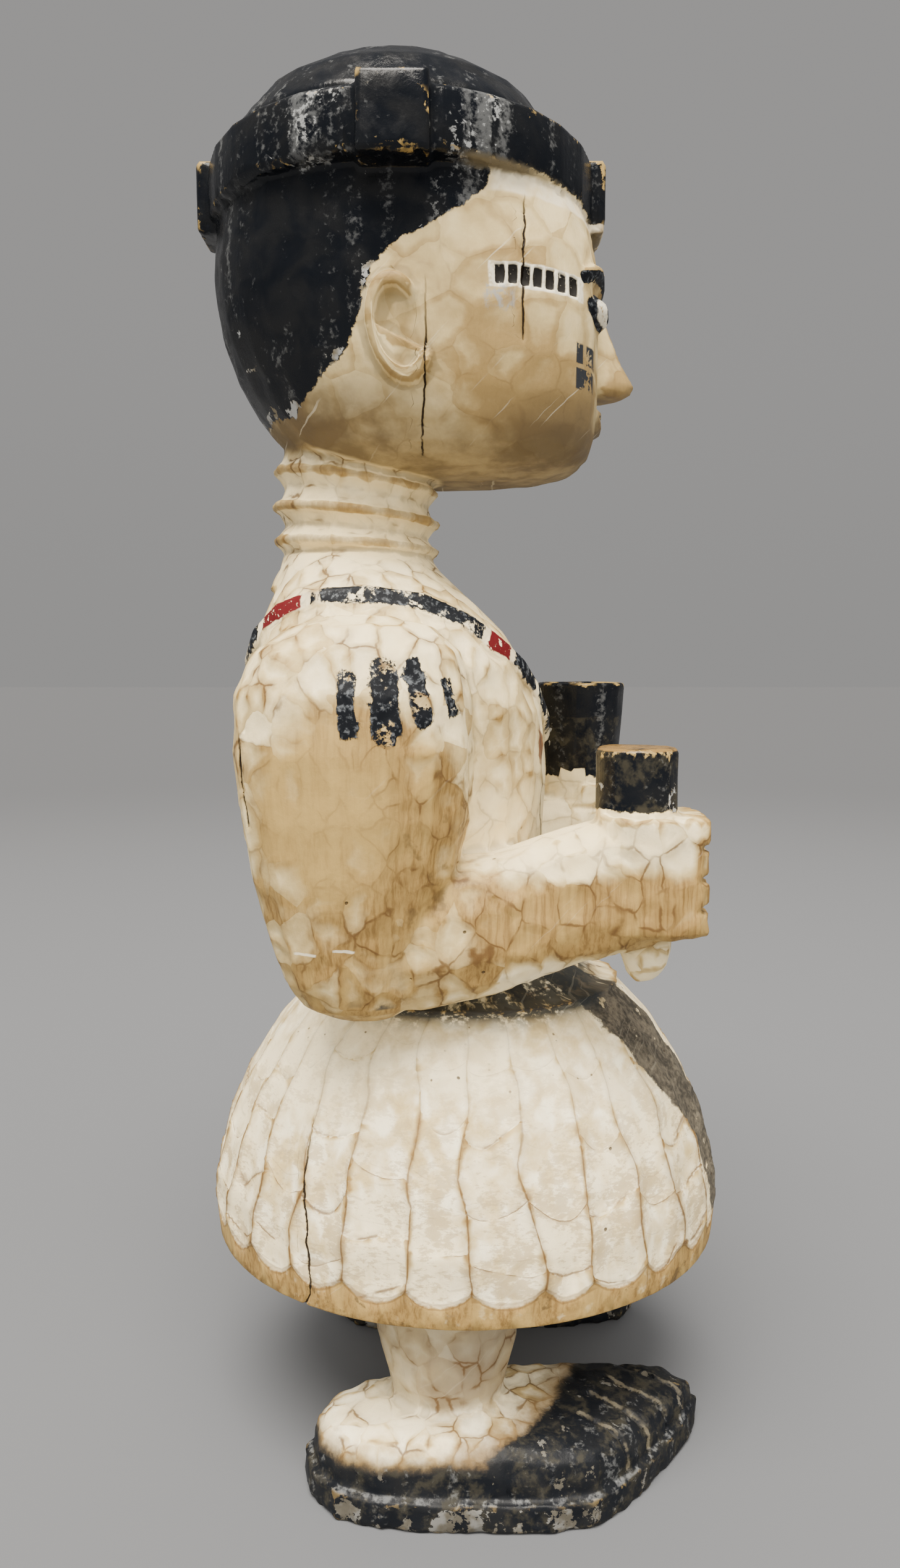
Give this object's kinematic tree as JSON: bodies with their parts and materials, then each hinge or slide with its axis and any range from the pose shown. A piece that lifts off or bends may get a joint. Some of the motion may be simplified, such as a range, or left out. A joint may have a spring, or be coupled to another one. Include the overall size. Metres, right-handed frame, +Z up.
{
  "type": "carved wooden standing figure",
  "caption": "Painted wooden standing figure with a banded cap, a fluted bell skirt, a rod in one hand and an open cup in the other; stands on thick soles.",
  "frame": {"origin": "centre of the bounding box in plan, at the height of the undersides of the soles", "axes": "+Z up; the figure faces -Y, with its right hand at -X and its left hand at +X"},
  "size_m": [0.2264, 0.241, 0.6059],
  "materials": {
    "painted_wood": "worn cream and black paint on light wood"
  },
  "bodies": {
    "root": {"figure": "painted_wood"}
  },
  "joints": []
}
